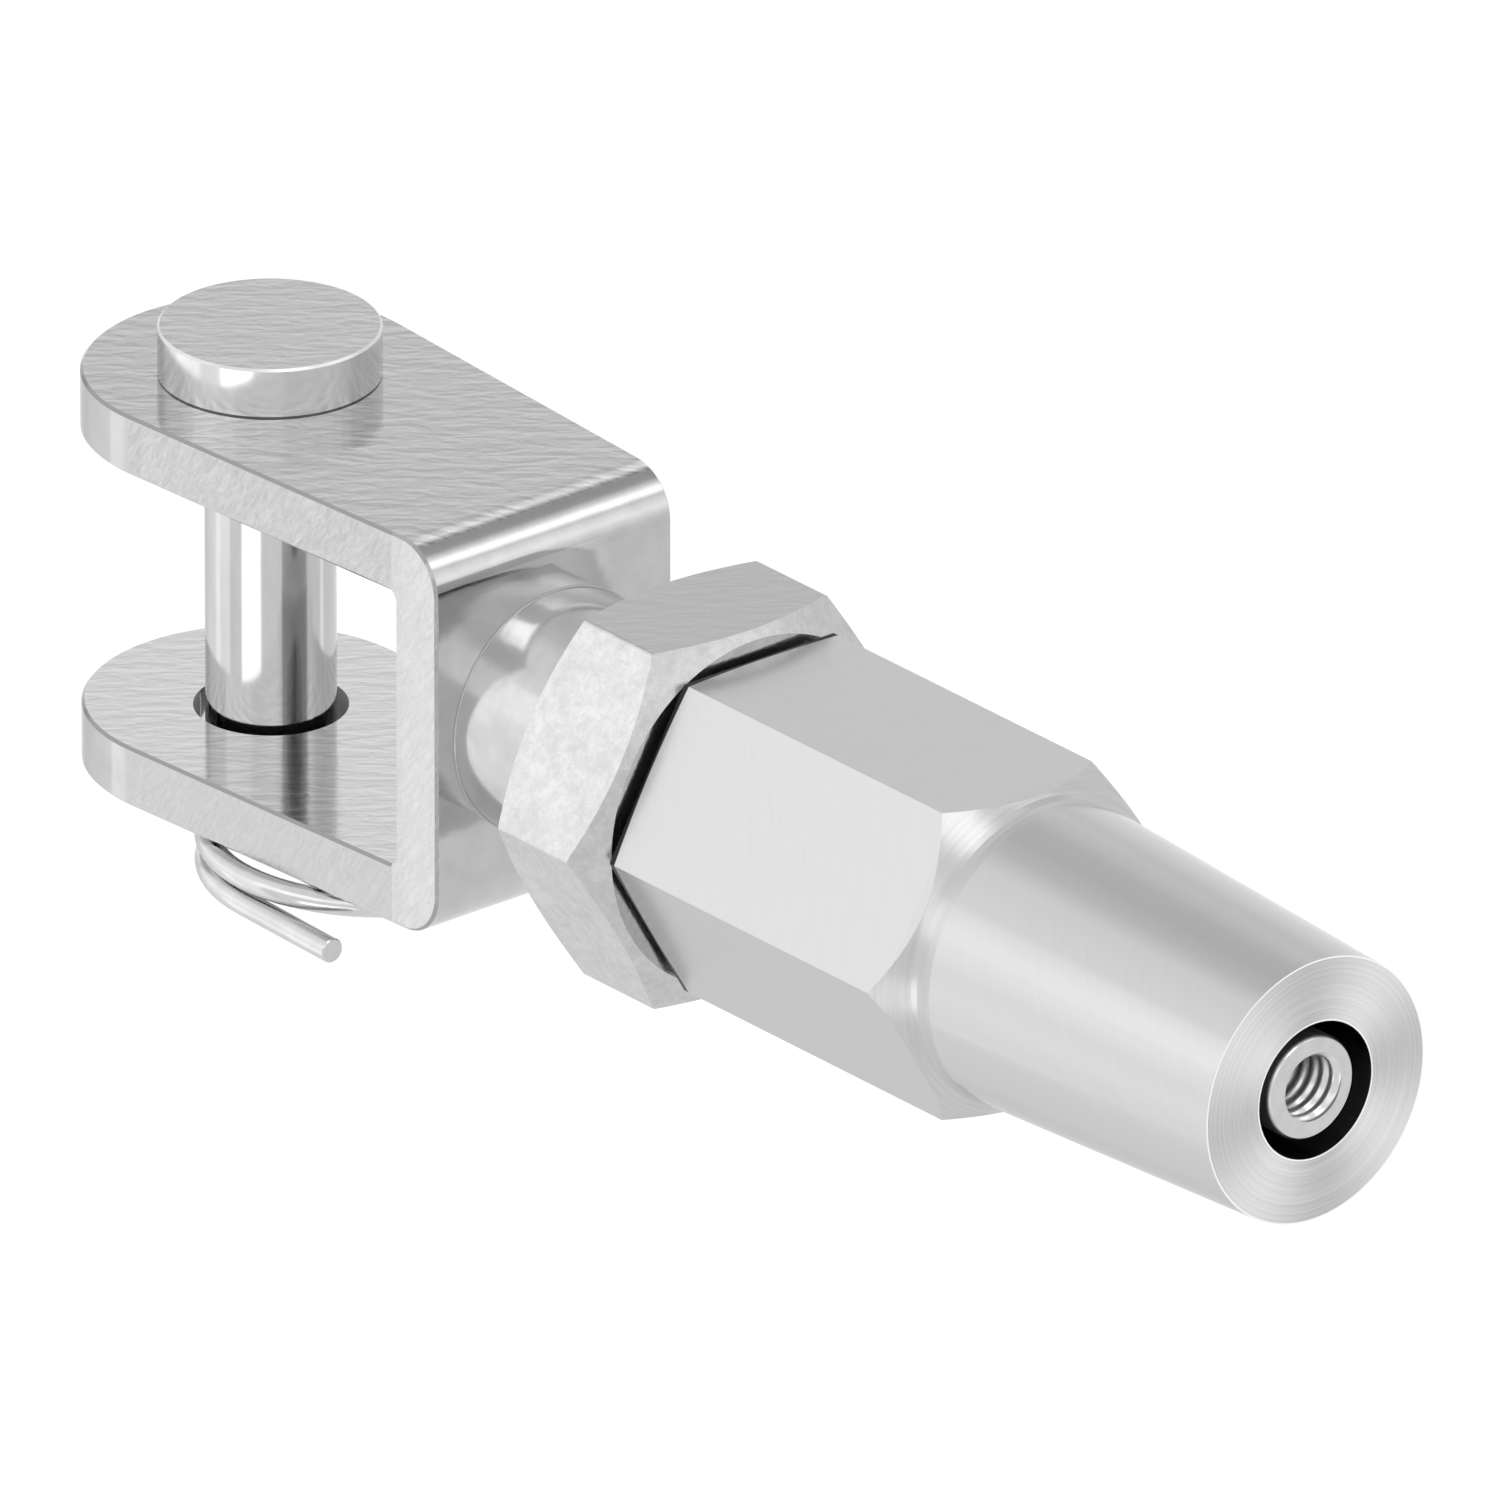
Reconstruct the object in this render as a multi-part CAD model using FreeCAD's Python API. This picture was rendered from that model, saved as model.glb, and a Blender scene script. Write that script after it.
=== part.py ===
import FreeCAD, Part
import math
import os

# Wire rope fork terminal, in millimetres.
# The origin is where the clevis pin's axis crosses the terminal's axis.
# +X runs along the terminal to the mouth where the rope goes in, and +Z runs up the pin to its head.

# Fork, folded from one strip
strip_thickness = 3.175
jaw_gap = 14.7
throat_depth = 18.7
bridge_width = 15.0
ear_end_radius = 8.7
ear_end_offset = 1.0
bend_outer_radius = 2.6
bend_inner_radius = 0.5
pin_hole_radius = 3.85
strip_edge_break = 0.15

# Clevis pin
pin_radius = 3.25
pin_head_radius = 5.55
pin_head_height = 2.6
pin_head_edge = 0.12
pin_tail_length = 3.65
pin_end_chamfer = 0.4
ring_hole_radius = 1.05

# Split ring, one turn and a quarter of round wire with a straight lead
ring_wire_radius = 0.635
ring_mean_radius = 8.64
ring_turn_step = 1.38
ring_start_angle = 210.0
ring_lead_angle = 628.0
ring_step_angle = 330.0
ring_lead_length = 7.2
ring_ear_clearance = 0.1
ring_wire_sides = 8

# Stud, riveted and welded into the bridge, with a neck and a long thread
neck_radius = 6.35
neck_length = 7.72
neck_fillet = 0.95
neck_fillet_steps = 3
stud_thread_radius = 6.3
stud_thread_length = 27.4
stud_end_chamfer = 0.8
stud_cup_radius = 2.4
stud_cup_half_angle = 60.0
spigot_radius = 4.5
rivet_radius = 5.1
rivet_depth = 0.6
spigot_clearance = 0.02

# Lock nut
nut_flats = 19.05
nut_thickness = 7.44
nut_face_radius = 9.05
nut_chamfer_angle = 30.0
nut_shoulder_gap = 0.1
nut_bore_chamfer = 0.35
nut_corner_round = 0.25

# Socket body: a hexagon with a conical nose
thread_clearance = 0.05
nut_to_socket_gap = 0.36
socket_flats = 16.4
socket_hex_length = 21.405
socket_chamfer_angle = 41.5
socket_bore_chamfer = 0.35
nose_base_radius = 7.83
nose_end_radius = 6.89
nose_length = 20.595
nose_root_radius = 1.0
nose_root_steps = 2
mouth_radius = 3.56
seat_half_angle = 9.0
seat_large_radius = 5.6
thread_runout = 0.6

# Grip collet: a slotted cone with a plain front tube
stud_to_collet_gap = 0.02
collet_seat_clearance = 0.15
collet_tube_radius = 2.69
collet_mouth_recess = 0.29
collet_cone_end_radius = 3.4
collet_shoulder_angle = 45.0
grip_bore_radius = 1.6
grip_mouth_radius = 1.78
grip_mouth_depth = 0.2
slot_count = 3
slot_width = 0.6
slot_length = 12.5

# Places that follow from the sizes
outer_half_height = jaw_gap / 2 + strip_thickness
bridge_outer_x = throat_depth + strip_thickness
bend_start_x = bridge_outer_x - bend_outer_radius
nut_start_x = bridge_outer_x + neck_length + nut_shoulder_gap
nut_end_x = nut_start_x + nut_thickness
socket_start_x = nut_end_x + nut_to_socket_gap
nose_base_x = socket_start_x + socket_hex_length
nose_end_x = nose_base_x + nose_length
stud_end_x = bridge_outer_x + neck_length + stud_thread_length
thread_bore_radius = stud_thread_radius + thread_clearance
seat_start_x = stud_end_x + thread_runout
seat_slope = math.tan(math.radians(seat_half_angle))
seat_end_x = seat_start_x + (seat_large_radius - mouth_radius) / seat_slope

AXIS = FreeCAD.Vector(1, 0, 0)
UP = FreeCAD.Vector(0, 0, 1)
ORIGIN = FreeCAD.Vector(0, 0, 0)


def point(x, y, z=0.0):
    return FreeCAD.Vector(x, y, z)


def turned(profile, axis=AXIS):
    """Solid of revolution of (along, radius) points about X, or of (along, radius) points about Z."""
    if axis == AXIS:
        corners = [point(along, 0, radius) for along, radius in profile]
    else:
        corners = [point(radius, 0, along) for along, radius in profile]
    face = Part.Face(Part.makePolygon(corners + corners[:1]))
    return face.revolve(ORIGIN, axis, 360)


def hexagon(flats, start_x, length):
    """Hexagonal bar along X with flats on top and bottom."""
    corner_radius = flats / math.sqrt(3)
    corners = []
    for step in range(6):
        angle = math.radians(60 * step)
        corners.append(point(start_x, corner_radius * math.cos(angle), corner_radius * math.sin(angle)))
    face = Part.Face(Part.makePolygon(corners + corners[:1]))
    return face.extrude(AXIS * length)


def u_section(open_x, closed_x, half_height, corner_radius):
    """Face in the XZ plane: a box open to the left with two rounded corners at closed_x."""
    reach = closed_x - corner_radius
    inset = half_height - corner_radius
    half_corner = corner_radius * math.sqrt(0.5)
    top = Part.LineSegment(point(open_x, 0, half_height), point(reach, 0, half_height))
    upper = Part.Arc(
        point(reach, 0, half_height),
        point(reach + half_corner, 0, inset + half_corner),
        point(closed_x, 0, inset))
    side = Part.LineSegment(point(closed_x, 0, inset), point(closed_x, 0, -inset))
    lower = Part.Arc(
        point(closed_x, 0, -inset),
        point(reach + half_corner, 0, -inset - half_corner),
        point(reach, 0, -half_height))
    bottom = Part.LineSegment(point(reach, 0, -half_height), point(open_x, 0, -half_height))
    back = Part.LineSegment(point(open_x, 0, -half_height), point(open_x, 0, half_height))
    edges = [piece.toShape() for piece in (top, upper, side, lower, bottom, back)]
    return Part.Face(Part.Wire(edges))


def ear_outline():
    """Face in the XY plane: a round ear end with straight sides that close in towards the bridge."""
    half_width = bridge_width / 2
    centre_x = -ear_end_offset
    run = bend_start_x - centre_x
    reach = math.hypot(run, half_width)
    tangent_angle = math.atan2(half_width, run) + math.acos(ear_end_radius / reach)
    touch_x = centre_x + ear_end_radius * math.cos(tangent_angle)
    touch_y = ear_end_radius * math.sin(tangent_angle)
    tip = point(centre_x - ear_end_radius, 0)
    pieces = [
        Part.Arc(point(touch_x, -touch_y), tip, point(touch_x, touch_y)),
        Part.LineSegment(point(touch_x, touch_y), point(bend_start_x, half_width)),
        Part.LineSegment(point(bend_start_x, half_width), point(bridge_outer_x, half_width)),
        Part.LineSegment(point(bridge_outer_x, half_width), point(bridge_outer_x, -half_width)),
        Part.LineSegment(point(bridge_outer_x, -half_width), point(bend_start_x, -half_width)),
        Part.LineSegment(point(bend_start_x, -half_width), point(touch_x, -touch_y))]
    return Part.Face(Part.Wire([piece.toShape() for piece in pieces]))


def make_fork():
    widest = 2 * (ear_end_radius + bridge_width)
    open_x = -2 * (ear_end_offset + ear_end_radius)
    outside = u_section(open_x, bridge_outer_x, outer_half_height, bend_outer_radius)
    inside = u_section(open_x, throat_depth, jaw_gap / 2, bend_inner_radius)
    folded = outside.cut(inside).extrude(point(0, widest, 0))
    folded.translate(point(0, -widest / 2, 0))
    blank = ear_outline().extrude(UP * (2 * outer_half_height))
    blank.translate(UP * -outer_half_height)
    fork = folded.common(blank)
    fork = fork.makeChamfer(strip_edge_break, strip_rim(fork))
    ear_holes = Part.makeCylinder(
        pin_hole_radius, 2 * outer_half_height, point(0, 0, -outer_half_height), UP)
    hole = spigot_radius + spigot_clearance
    rivet = rivet_radius + spigot_clearance
    stud_hole = turned([
        (throat_depth, 0),
        (throat_depth, rivet),
        (throat_depth + rivet_depth, hole),
        (bridge_outer_x, hole),
        (bridge_outer_x, 0)])
    return fork.cut(ear_holes).cut(stud_hole)


def strip_rim(fork):
    """The long edges round the strip, where its faces meet its sheared sides."""
    rim = []
    for edge in fork.Edges:
        middle = edge.valueAt((edge.FirstParameter + edge.LastParameter) / 2)
        ends = [vertex.Point for vertex in edge.Vertexes]
        crosses_strip = abs(ends[0].y + ends[-1].y) < 0.01 and abs(ends[0].y) > 1
        round_end = middle.x < -ear_end_offset
        if round_end or not crosses_strip:
            if not is_seam_across_thickness(ends):
                rim.append(edge)
    return rim


def is_seam_across_thickness(ends):
    """True for an edge that runs straight through the strip from face to face."""
    upright = abs(ends[0].x - ends[-1].x) < 0.01 and abs(ends[0].y - ends[-1].y) < 0.01
    length = (ends[0] - ends[-1]).Length
    return upright and abs(length - strip_thickness) < 0.01


def make_clevis_pin():
    head_base = outer_half_height
    head_top = head_base + pin_head_height
    pin_end = -outer_half_height - pin_tail_length
    pin = turned([
        (pin_end, 0),
        (pin_end, pin_radius - pin_end_chamfer),
        (pin_end + pin_end_chamfer, pin_radius),
        (head_base, pin_radius),
        (head_base, pin_head_radius),
        (head_top - pin_head_edge, pin_head_radius),
        (head_top, pin_head_radius - pin_head_edge),
        (head_top, 0)], UP)
    cross_hole = Part.makeCylinder(
        ring_hole_radius, 4 * pin_radius, point(ring_hole_x(), -2 * pin_radius, ring_hole_z()),
        point(0, 1, 0))
    return pin.cut(cross_hole)


def ring_top_z():
    """Height of the wire's centre where it lies under the lower ear."""
    return -outer_half_height - ring_ear_clearance - ring_wire_radius


def ring_hole_z():
    """Height of the hole, which is the height of the wire's centre after it has stepped down."""
    return ring_top_z() - ring_turn_step


def ring_hole_x():
    """The curved wire swings to one side inside the pin, and the hole is centred on that swing."""
    sagitta = ring_mean_radius - math.sqrt(ring_mean_radius ** 2 - pin_radius ** 2)
    return sagitta / 2


def ring_way(angle):
    """Direction of the wire at an angle about the ring's own axis, where it lies level."""
    turn = math.radians(angle)
    return point(-math.sin(turn), math.cos(turn), 0)


def ring_spoke(angle):
    """Direction from the ring's own axis to the wire."""
    turn = math.radians(angle)
    return point(math.cos(turn), math.sin(turn), 0)


def level_arc(centre, first, last):
    """Level piece of the wire's centre line about the given centre."""
    places = [centre + ring_spoke(angle) * ring_mean_radius for angle in (first, (first + last) / 2, last)]
    return Part.Arc(*places).toShape()


def tilted_half_turn(upper_centre):
    """Half turn in a tilted plane, level at both ends, that steps the wire down."""
    tilt = math.asin(ring_turn_step / (2 * ring_mean_radius))
    spoke = ring_spoke(ring_step_angle)
    inward = point(-spoke.x * math.cos(tilt), -spoke.y * math.cos(tilt), -math.sin(tilt))
    begin = upper_centre + spoke * ring_mean_radius
    centre = begin + inward * ring_mean_radius
    middle = centre + ring_way(ring_step_angle) * ring_mean_radius
    return Part.Arc(begin, middle, centre + inward * ring_mean_radius).toShape()


def make_split_ring():
    tilt = math.asin(ring_turn_step / (2 * ring_mean_radius))
    drift = 2 * ring_mean_radius * (1 - math.cos(tilt))
    lower_centre = point(ring_mean_radius, 0, ring_hole_z())
    upper_centre = point(ring_mean_radius, 0, ring_top_z()) - ring_spoke(ring_step_angle) * drift
    start = upper_centre + ring_spoke(ring_start_angle) * ring_mean_radius
    lead_start = lower_centre + ring_spoke(ring_lead_angle) * ring_mean_radius
    lead_end = lead_start + ring_way(ring_lead_angle) * ring_lead_length
    path = Part.Wire([
        level_arc(upper_centre, ring_start_angle, ring_step_angle),
        tilted_half_turn(upper_centre),
        level_arc(lower_centre, ring_step_angle + 180, ring_lead_angle),
        Part.LineSegment(lead_start, lead_end).toShape()])
    sweep = Part.BRepOffsetAPI.MakePipeShell(path)
    sweep.setFrenetMode(False)
    sweep.add(wire_section(start), False, False)
    sweep.build()
    sweep.makeSolid()
    return sweep.shape()


def wire_section(centre):
    """Many-sided section with the same area as the round wire, square to the wire's start."""
    half_side = math.pi / ring_wire_sides
    corner_radius = ring_wire_radius * math.sqrt(half_side * 2 / math.sin(half_side * 2))
    spoke = ring_spoke(ring_start_angle)
    corners = []
    for side in range(ring_wire_sides):
        turn = half_side * (2 * side + 1)
        offset = spoke * (corner_radius * math.cos(turn)) + UP * (corner_radius * math.sin(turn))
        corners.append(centre + offset)
    return Part.makePolygon(corners + corners[:1])


def neck_root():
    """(along, radius) points of the hollow curve from the bridge's face to the neck."""
    places = []
    for step in range(neck_fillet_steps + 1):
        turn = math.radians(90 * step / neck_fillet_steps)
        along = bridge_outer_x + neck_fillet * (1 - math.cos(turn))
        places.append((along, neck_radius + neck_fillet * (1 - math.sin(turn))))
    return places


def make_stud():
    neck_end_x = bridge_outer_x + neck_length
    cup_depth = stud_cup_radius / math.tan(math.radians(stud_cup_half_angle))
    return turned([
        (throat_depth, 0),
        (throat_depth, rivet_radius),
        (throat_depth + rivet_depth, spigot_radius),
        (bridge_outer_x, spigot_radius)]
        + neck_root() + [
        (neck_end_x, neck_radius),
        (neck_end_x, stud_thread_radius),
        (stud_end_x - stud_end_chamfer, stud_thread_radius),
        (stud_end_x, stud_thread_radius - stud_end_chamfer),
        (stud_end_x, stud_cup_radius),
        (stud_end_x - cup_depth, 0)])


def make_lock_nut():
    bar = hexagon(nut_flats, nut_start_x, nut_thickness)
    uprights = [edge for edge in bar.Edges if abs(edge.Length - nut_thickness) < 0.01]
    bar = bar.makeFillet(nut_corner_round, uprights)
    corner_radius = nut_flats / math.sqrt(3)
    reach = (corner_radius - nut_face_radius) * math.tan(math.radians(nut_chamfer_angle))
    envelope = turned([
        (nut_start_x, 0),
        (nut_start_x, nut_face_radius),
        (nut_start_x + reach, corner_radius),
        (nut_end_x - reach, corner_radius),
        (nut_end_x, nut_face_radius),
        (nut_end_x, 0)])
    mouth = thread_bore_radius + nut_bore_chamfer
    bore = turned([
        (nut_start_x, 0),
        (nut_start_x, mouth),
        (nut_start_x + nut_bore_chamfer, thread_bore_radius),
        (nut_end_x - nut_bore_chamfer, thread_bore_radius),
        (nut_end_x, mouth),
        (nut_end_x, 0)])
    return bar.common(envelope).cut(bore)


def nose_root():
    """(along, radius) points of the hollow curve from the hexagon's conical chamfer to the nose."""
    steep = math.radians(socket_chamfer_angle)
    shallow = math.atan((nose_base_radius - nose_end_radius) / nose_length)
    reach = nose_root_radius * math.tan((steep - shallow) / 2)
    start_x = nose_base_x - reach * math.cos(steep)
    centre_x = start_x + nose_root_radius * math.sin(steep)
    centre_r = nose_base_radius + reach * math.sin(steep) + nose_root_radius * math.cos(steep)
    places = []
    for step in range(nose_root_steps + 1):
        lean = steep + (shallow - steep) * step / nose_root_steps
        places.append((
            centre_x - nose_root_radius * math.sin(lean),
            centre_r - nose_root_radius * math.cos(lean)))
    return places


def make_socket_body():
    corner_radius = socket_flats / math.sqrt(3)
    chamfer_reach = (corner_radius - nose_base_radius) / math.tan(math.radians(socket_chamfer_angle))
    envelope = turned([
        (socket_start_x, 0),
        (socket_start_x, corner_radius),
        (nose_base_x - chamfer_reach, corner_radius)]
        + nose_root() + [
        (nose_end_x, nose_end_radius),
        (nose_end_x, 0)])
    outside = hexagon(socket_flats, socket_start_x, socket_hex_length + nose_length).common(envelope)
    inside = turned([
        (socket_start_x, 0),
        (socket_start_x, thread_bore_radius + socket_bore_chamfer),
        (socket_start_x + socket_bore_chamfer, thread_bore_radius),
        (seat_start_x, thread_bore_radius),
        (seat_start_x, seat_large_radius),
        (seat_end_x, mouth_radius),
        (nose_end_x, mouth_radius),
        (nose_end_x, 0)])
    return outside.cut(inside)


def make_grip_collet():
    rear_x = stud_end_x + stud_to_collet_gap
    front_x = nose_end_x - collet_mouth_recess
    radial_gap = collet_seat_clearance / math.cos(math.radians(seat_half_angle))
    cone_start_radius = seat_large_radius - radial_gap
    cone_end_x = seat_start_x + (cone_start_radius - collet_cone_end_radius) / seat_slope
    shoulder = (collet_cone_end_radius - collet_tube_radius) / math.tan(math.radians(collet_shoulder_angle))
    outside = turned([
        (rear_x, 0),
        (rear_x, cone_start_radius),
        (seat_start_x, cone_start_radius),
        (cone_end_x, collet_cone_end_radius),
        (cone_end_x + shoulder, collet_tube_radius),
        (front_x, collet_tube_radius),
        (front_x, 0)])
    bore = turned([
        (rear_x, 0),
        (rear_x, grip_bore_radius),
        (front_x - grip_mouth_depth, grip_bore_radius),
        (front_x, grip_mouth_radius),
        (front_x, 0)])
    collet = outside.cut(bore)
    for index in range(slot_count):
        slot = Part.makeBox(
            slot_length, slot_width, 2 * cone_start_radius, point(rear_x, -slot_width / 2, 0))
        slot.rotate(ORIGIN, AXIS, index * 360.0 / slot_count)
        collet = collet.cut(slot)
    return collet


def main():
    os.makedirs("parts", exist_ok=True)
    pieces = {
        "fork": make_fork,
        "stud": make_stud,
        "clevis_pin": make_clevis_pin,
        "split_ring": make_split_ring,
        "lock_nut": make_lock_nut,
        "socket_body": make_socket_body,
        "grip_collet": make_grip_collet}
    for name, make in pieces.items():
        shape = make()
        solid = shape.Solids[0] if len(shape.Solids) == 1 else shape
        solid.exportStep(os.path.join("parts", name + ".step"))
        box = solid.BoundBox
        print(name, len(shape.Solids), solid.isValid(), round(solid.Volume, 2),
              [round(value, 3) for value in (box.XMin, box.XMax, box.YMin, box.YMax, box.ZMin, box.ZMax)])


main()
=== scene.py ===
import math

import bmesh
import bpy
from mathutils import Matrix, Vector


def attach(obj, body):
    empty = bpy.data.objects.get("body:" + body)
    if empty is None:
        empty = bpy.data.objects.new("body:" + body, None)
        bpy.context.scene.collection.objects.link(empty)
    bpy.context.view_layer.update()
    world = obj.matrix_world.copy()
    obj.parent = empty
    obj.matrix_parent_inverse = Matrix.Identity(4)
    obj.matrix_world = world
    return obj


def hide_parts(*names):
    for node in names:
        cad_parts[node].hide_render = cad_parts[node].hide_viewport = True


# Wire rope fork terminal: procedural metals, finer stand-ins for three pieces and a pale studio.
# Sizes of the part are in millimetres, and MM turns them into the metres that Blender works in.
# The origin is where the clevis pin's axis crosses the terminal's axis. +X runs to the socket's
# mouth, and +Z runs up the pin to its head.

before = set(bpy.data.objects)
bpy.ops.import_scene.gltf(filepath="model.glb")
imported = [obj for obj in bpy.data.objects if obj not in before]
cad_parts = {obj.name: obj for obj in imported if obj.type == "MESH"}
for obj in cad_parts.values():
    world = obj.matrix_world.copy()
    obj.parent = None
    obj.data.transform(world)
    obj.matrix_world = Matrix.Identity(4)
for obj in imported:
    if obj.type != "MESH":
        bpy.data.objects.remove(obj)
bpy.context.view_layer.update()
MM = 0.001


def place_object(name, data):
    """New object with the given data, linked into the scene."""
    piece = bpy.data.objects.new(name, data)
    bpy.context.scene.collection.objects.link(piece)
    return piece


# Camera. A very long lens gives the photograph's parallel view.
RIGHT = Vector((0.6401, 0.7683, 0.0))
UP = Vector((-0.3198, 0.2665, 0.9092))
BACK = RIGHT.cross(UP).normalized()
SENSOR_WIDTH = 36.0
LENS = 1600.0
FRAME_WIDTH = 73.2 * MM
FRAME_MIDDLE = Vector((17.81, 15.59, -8.09)) * MM
DEPTH_TO_PART = 24.0 * MM
SHIFT_RIGHT = 0.186 * MM
SHIFT_DOWN = 0.087 * MM
LOOK_AT = FRAME_MIDDLE + BACK * DEPTH_TO_PART + RIGHT * SHIFT_RIGHT - UP * SHIFT_DOWN
CLIP_START = 0.1
CLIP_END = 20.0


def make_camera():
    data = bpy.data.cameras.new("camera")
    data.sensor_width = SENSOR_WIDTH
    data.lens = LENS
    data.clip_start = CLIP_START
    data.clip_end = CLIP_END
    camera = place_object("camera", data)
    camera.location = LOOK_AT + BACK * (FRAME_WIDTH * LENS / SENSOR_WIDTH)
    camera.rotation_mode = "QUATERNION"
    camera.rotation_quaternion = (-BACK).to_track_quat("-Z", "Y")
    bpy.context.scene.camera = camera


class Tree:
    """A small helper that adds and links shader nodes."""

    def __init__(self, owner):
        owner.use_nodes = True
        self.tree = owner.node_tree
        self.tree.nodes.clear()

    def feed(self, entry, value):
        """Links another node's output to an input, or sets a plain value on it."""
        if isinstance(value, bpy.types.NodeSocket):
            self.tree.links.new(value, entry)
        else:
            entry.default_value = value

    def add(self, kind, inputs=None, **settings):
        node = self.tree.nodes.new(kind)
        for name, value in settings.items():
            setattr(node, name, value)
        for name, value in (inputs or {}).items():
            self.feed(node.inputs[name], value)
        return node

    def close(self, surface, kind="ShaderNodeOutputMaterial"):
        """Ends the tree with the given shader."""
        self.add(kind, {"Surface": surface})

    def math(self, operation, *values):
        node = self.add("ShaderNodeMath", operation=operation)
        for index, value in enumerate(values):
            self.feed(node.inputs[index], value)
        return node.outputs[0]

    def noise(self, vector, scale, detail, roughness, distortion=0.0):
        node = self.add("ShaderNodeTexNoise", {
            "Vector": vector, "Scale": scale, "Detail": detail,
            "Roughness": roughness, "Distortion": distortion})
        return node.outputs["Fac"]

    def ramp(self, value, low, high, out_low, out_high):
        node = self.add("ShaderNodeMapRange", {
            "Value": value, "From Min": low, "From Max": high,
            "To Min": out_low, "To Max": out_high})
        return node.outputs["Result"]

    def grey(self, value):
        node = self.add("ShaderNodeCombineColor", {"Red": value, "Green": value, "Blue": value})
        return node.outputs["Color"]

    def emit(self, colour, strength):
        """Ends the tree with light of its own."""
        light = self.add("ShaderNodeEmission", {"Color": colour, "Strength": strength})
        self.close(light.outputs["Emission"])


# Share of a normal along an axis.
SQUARE_ON = 0.985
FACING = 0.9
SIDEWAYS = 0.5
LEANING = 0.3

# In each material, tones are (darkest, lightest) levels of grey over the surface's own pattern,
# and roughs are the roughness at the same two ends of the pattern.

# Wrinkles of a rolled face: a relief, and painted light and shade along it, taken from where two
# shifted copies of one noise differ.
WRINKLE_TURN = (0, 0, 50.2)
WRINKLE_GRAIN = (2.1, 0.62, 2.0)
WRINKLE_SHIFT = (-0.14, 0.16, 0)
WRINKLE_CUBE = 160.0
WRINKLE_SLOPE = 0.6
WRINKLE_MIDDLE = 0.5
WRINKLE_RELIEF = 0.4

# Grooves of a turned piece, in the shader's own units.
GROOVE_ANISOTROPY = 0.8
GROOVE_TURN = 0.25


class Steel:
    """A metal under construction: its place in millimetres, its normal and the finished shader."""

    def __init__(self, name):
        self.material = bpy.data.materials.new(name)
        self.tree = Tree(self.material)
        coords = self.tree.add("ShaderNodeTexCoord")
        millimetres = self.tree.add("ShaderNodeMapping", {
            "Vector": coords.outputs["Object"], "Scale": (1 / MM, 1 / MM, 1 / MM)})
        self.place = millimetres.outputs["Vector"]
        self.x, self.y, self.z = self.parts(self.place)
        self.nx, self.ny, self.nz = self.parts(coords.outputs["Normal"])

    def parts(self, vector):
        node = self.tree.add("ShaderNodeSeparateXYZ", {"Vector": vector})
        return node.outputs["X"], node.outputs["Y"], node.outputs["Z"]

    def over(self, value, limit):
        return self.tree.math("GREATER_THAN", value, limit)

    def under(self, value, limit):
        return self.without(self.over(value, limit))

    def between(self, value, low, high):
        return self.both(self.over(value, low), self.under(value, high))

    def both(self, first, second):
        return self.tree.math("MULTIPLY", first, second)

    def either(self, first, second):
        return self.tree.math("MAXIMUM", first, second)

    def without(self, mask):
        return self.tree.math("SUBTRACT", 1.0, mask)

    def times(self, field, factor):
        return self.tree.math("MULTIPLY", field, factor)

    def size(self, value):
        return self.tree.math("ABSOLUTE", value)

    def radius(self, first, second):
        return self.tree.math("SQRT", self.tree.math(
            "ADD", self.times(first, first), self.times(second, second)))

    def pick(self, mask, inside, outside):
        """Inside where the mask is 1 and outside where it is 0."""
        node = self.tree.add(
            "ShaderNodeMix", {"Factor": mask, "A": outside, "B": inside}, data_type="FLOAT")
        return node.outputs["Result"]

    def spread(self, field, ends, span=(0.3, 0.7)):
        """Values between two ends, over the span that the noise mostly fills."""
        return self.tree.ramp(field, span[0], span[1], ends[0], ends[1])

    def noise(self, scale, detail, roughness):
        return self.tree.noise(self.place, scale, detail, roughness)

    def grained(self, grain, detail, roughness, distortion=0.0, turn=(0, 0, 0), shift=(0, 0, 0)):
        """Noise with spots as long as the grain along axes that are turned by some degrees."""
        rotation = [math.radians(angle) for angle in turn]
        node = self.tree.add(
            "ShaderNodeMapping",
            {"Vector": self.place, "Rotation": rotation, "Scale": grain, "Location": shift},
            vector_type="TEXTURE")
        return self.tree.noise(node.outputs["Vector"], 1.0, detail, roughness, distortion)

    def wrinkles(self):
        """Thin wavy wrinkles across a rolled face: a relief, and lines of painted light and shade
        along it.
        """
        relief, shifted = [
            self.grained(
                WRINKLE_GRAIN, detail=3.0, roughness=0.6, distortion=0.5, turn=WRINKLE_TURN,
                shift=shift)
            for shift in ((0, 0, 0), WRINKLE_SHIFT)]
        # Painted light and shade: one side of each wrinkle comes out lighter and the other darker.
        slope = self.tree.math("SUBTRACT", relief, shifted)
        cube = self.times(self.times(slope, slope), self.times(slope, WRINKLE_CUBE))
        straight = self.tree.math("MULTIPLY_ADD", slope, WRINKLE_SLOPE, WRINKLE_MIDDLE)
        return relief, self.tree.math("ADD", cube, straight)

    def done(self, level, rough, relief, height, turned_about=None):
        """Closes the shader with its tone, its roughness and a bump of a height in millimetres."""
        bump = self.tree.add("ShaderNodeBump", {
            "Height": relief, "Distance": height * MM, "Strength": 1.0})
        shader = self.tree.add("ShaderNodeBsdfPrincipled", {
            "Base Color": self.tree.grey(level), "Roughness": rough,
            "Normal": bump.outputs["Normal"], "Metallic": 1.0})
        if turned_about:
            grooves = self.tree.add("ShaderNodeTangent", direction_type="RADIAL", axis=turned_about)
            self.tree.feed(shader.inputs["Tangent"], grooves.outputs["Tangent"])
            self.tree.feed(shader.inputs["Anisotropic"], GROOVE_ANISOTROPY)
            self.tree.feed(shader.inputs["Anisotropic Rotation"], GROOVE_TURN)
        self.tree.close(shader.outputs["BSDF"])
        return self.material


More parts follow.
